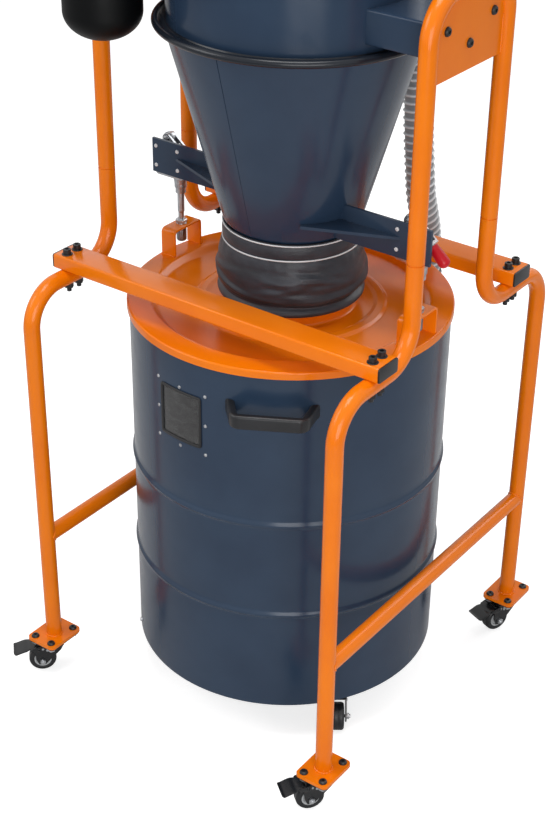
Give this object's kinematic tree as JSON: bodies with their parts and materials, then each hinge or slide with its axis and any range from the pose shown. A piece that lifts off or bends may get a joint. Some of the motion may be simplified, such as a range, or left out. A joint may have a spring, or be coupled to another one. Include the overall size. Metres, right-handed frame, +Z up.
{
  "type": "cyclone dust extraction unit with collection drum",
  "caption": "Mobile cyclone dust extractor: tube frame on braked casters, cyclone with cone, sleeve and fan, and a wheeled drum with a clamp-lifted lid.",
  "frame": {"origin": "on the floor, under the middle of the unit's overall box", "axes": "+Z up along the cyclone axis; front of the unit towards -Y, right-hand side towards +X"},
  "size_m": [0.7019, 0.7252, 1.8158],
  "materials": {
    "orange_paint": "gloss powder coat",
    "dark_paint": "gloss blue-grey powder coat",
    "flange_paint": "semi-gloss",
    "black_bolts": "black oxide",
    "zinc": "bright zinc plate",
    "red_grip": "moulded vinyl",
    "grey_hose": "corrugated",
    "black_vinyl": "wrinkled glossy vinyl",
    "clear_window": "clear sheet",
    "black_rubber": "matte",
    "black_plastic": "fine texture",
    "motor_grey": "satin",
    "wheel_rubber": "satin",
    "black_steel": "satin black"
  },
  "bodies": {
    "frame": {"left_front_leg": "orange_paint", "right_front_leg": "orange_paint", "left_rear_leg": "orange_paint", "right_rear_leg": "orange_paint", "side_braces": "orange_paint", "front_beam": "orange_paint", "rear_beam": "orange_paint", "beam_end_caps": "black_plastic", "beam_bolts": "black_bolts", "left_hoop": "orange_paint", "right_hoop": "orange_paint", "side_plates": "orange_paint", "side_plate_bolts": "black_bolts", "mount_boxes": "dark_paint", "cyclone_barrel": "dark_paint", "cyclone_flange": "flange_paint", "cyclone_cone": "dark_paint", "cyclone_top": "dark_paint", "inlet_duct": "dark_paint", "inlet_cap": "black_plastic", "fan_housing": "dark_paint", "fan_motor": "motor_grey", "motor_cowl": "black_plastic", "terminal_box": "black_plastic", "vacuum_hose": "grey_hose", "hose_elbows": "black_plastic", "flexible_sleeve": "black_vinyl", "drum_shell": "dark_paint", "drum_handle": "black_plastic", "window_gasket": "black_rubber", "window_pane": "clear_window", "clamp_plates": "dark_paint", "clamp_bodies": "zinc", "caster_plates": "black_steel"},
    "lid": {"drum_lid": "orange_paint", "lid_brackets": "orange_paint", "lid_plungers": "zinc"},
    "left_lever": {"left_lever": "zinc", "left_grip": "red_grip"},
    "right_lever": {"right_lever": "zinc", "right_grip": "red_grip"},
    "caster_1_fork": {"caster_1_fork": "black_steel"},
    "caster_1_wheel": {"caster_1_wheel": "wheel_rubber"},
    "caster_1_pedal": {"caster_1_pedal": "black_steel"},
    "caster_2_fork": {"caster_2_fork": "black_steel"},
    "caster_2_wheel": {"caster_2_wheel": "wheel_rubber"},
    "caster_2_pedal": {"caster_2_pedal": "black_steel"},
    "caster_3_fork": {"caster_3_fork": "black_steel"},
    "caster_3_wheel": {"caster_3_wheel": "wheel_rubber"},
    "caster_3_pedal": {"caster_3_pedal": "black_steel"},
    "caster_4_fork": {"caster_4_fork": "black_steel"},
    "caster_4_wheel": {"caster_4_wheel": "wheel_rubber"},
    "caster_4_pedal": {"caster_4_pedal": "black_steel"},
    "drum_caster_1_fork": {"drum_caster_1_fork": "black_steel"},
    "drum_caster_1_wheel": {"drum_caster_1_wheel": "wheel_rubber"},
    "drum_caster_2_fork": {"drum_caster_2_fork": "black_steel"},
    "drum_caster_2_wheel": {"drum_caster_2_wheel": "wheel_rubber"},
    "drum_caster_3_fork": {"drum_caster_3_fork": "black_steel"},
    "drum_caster_3_wheel": {"drum_caster_3_wheel": "wheel_rubber"}
  },
  "joints": [
    {"name": "lid_lift", "type": "slide", "parent": "frame", "child": "lid", "axis": [0, 0, 1], "range_m": [0, 0.032], "deforming": ["flexible_sleeve"]},
    {"name": "left_lever_swing", "type": "hinge", "parent": "frame", "child": "left_lever", "pos_m": [-0.259, 0.039, 0.9458], "axis": [0, -1, 0], "range_deg": [0, 72]},
    {"name": "right_lever_swing", "type": "hinge", "parent": "frame", "child": "right_lever", "pos_m": [0.249, 0.005, 0.9458], "axis": [0, -1, 0], "range_deg": [0, 72]},
    {"name": "caster_1_swivel", "type": "hinge", "parent": "frame", "child": "caster_1_fork", "pos_m": [-0.2855, -0.293, 0.06], "axis": [0, 0, 1], "continuous": true},
    {"name": "caster_1_roll", "type": "hinge", "parent": "caster_1_fork", "child": "caster_1_wheel", "pos_m": [-0.30247, -0.30997, 0.025], "axis": [0.7071, -0.7071, 0], "continuous": true},
    {"name": "caster_1_brake", "type": "hinge", "parent": "caster_1_fork", "child": "caster_1_pedal", "pos_m": [-0.30671, -0.31421, 0.054], "axis": [-0.7071, 0.7071, 0], "range_deg": [0, 15]},
    {"name": "caster_2_swivel", "type": "hinge", "parent": "frame", "child": "caster_2_fork", "pos_m": [0.3195, -0.293, 0.06], "axis": [0, 0, 1], "continuous": true},
    {"name": "caster_2_roll", "type": "hinge", "parent": "caster_2_fork", "child": "caster_2_wheel", "pos_m": [0.30472, -0.31191, 0.025], "axis": [0.788, -0.6157, 0], "continuous": true},
    {"name": "caster_2_brake", "type": "hinge", "parent": "caster_2_fork", "child": "caster_2_pedal", "pos_m": [0.30103, -0.31664, 0.054], "axis": [-0.788, 0.6157, 0], "range_deg": [0, 15]},
    {"name": "caster_3_swivel", "type": "hinge", "parent": "frame", "child": "caster_3_fork", "pos_m": [0.3195, 0.323, 0.06], "axis": [0, 0, 1], "continuous": true},
    {"name": "caster_3_roll", "type": "hinge", "parent": "caster_3_fork", "child": "caster_3_wheel", "pos_m": [0.31051, 0.30075, 0.025], "axis": [0.9272, -0.3746, 0], "continuous": true},
    {"name": "caster_3_brake", "type": "hinge", "parent": "caster_3_fork", "child": "caster_3_pedal", "pos_m": [0.30826, 0.29518, 0.054], "axis": [-0.9272, 0.3746, 0], "range_deg": [0, 15]},
    {"name": "caster_4_swivel", "type": "hinge", "parent": "frame", "child": "caster_4_fork", "pos_m": [-0.2855, 0.323, 0.06], "axis": [0, 0, 1], "continuous": true},
    {"name": "caster_4_roll", "type": "hinge", "parent": "caster_4_fork", "child": "caster_4_wheel", "pos_m": [-0.2975, 0.30222, 0.025], "axis": [0.866, -0.5, 0], "continuous": true},
    {"name": "caster_4_brake", "type": "hinge", "parent": "caster_4_fork", "child": "caster_4_pedal", "pos_m": [-0.3005, 0.29702, 0.054], "axis": [-0.866, 0.5, 0], "range_deg": [0, 15]},
    {"name": "drum_caster_1_swivel", "type": "hinge", "parent": "frame", "child": "drum_caster_1_fork", "pos_m": [0.21792, -0.101, 0.06], "axis": [0, 0, 1], "continuous": true},
    {"name": "drum_caster_1_roll", "type": "hinge", "parent": "drum_caster_1_fork", "child": "drum_caster_1_wheel", "pos_m": [0.23202, -0.12042, 0.025], "axis": [0.809, 0.5878, 0], "continuous": true},
    {"name": "drum_caster_2_swivel", "type": "hinge", "parent": "frame", "child": "drum_caster_2_fork", "pos_m": [0.017, 0.247, 0.06], "axis": [0, 0, 1], "continuous": true},
    {"name": "drum_caster_2_roll", "type": "hinge", "parent": "drum_caster_2_fork", "child": "drum_caster_2_wheel", "pos_m": [0.02827, 0.22581, 0.025], "axis": [0.8829, 0.4695, 0], "continuous": true},
    {"name": "drum_caster_3_swivel", "type": "hinge", "parent": "frame", "child": "drum_caster_3_fork", "pos_m": [-0.18392, -0.101, 0.06], "axis": [0, 0, 1], "continuous": true},
    {"name": "drum_caster_3_roll", "type": "hinge", "parent": "drum_caster_3_fork", "child": "drum_caster_3_wheel", "pos_m": [-0.16786, -0.11884, 0.025], "axis": [0.7431, 0.6691, 0], "continuous": true}
  ],
  "couplings": [
    {"joint": "left_lever_swing", "follows": "lid_lift", "rad_per_m": 39},
    {"joint": "right_lever_swing", "follows": "lid_lift", "rad_per_m": 39}
  ]
}
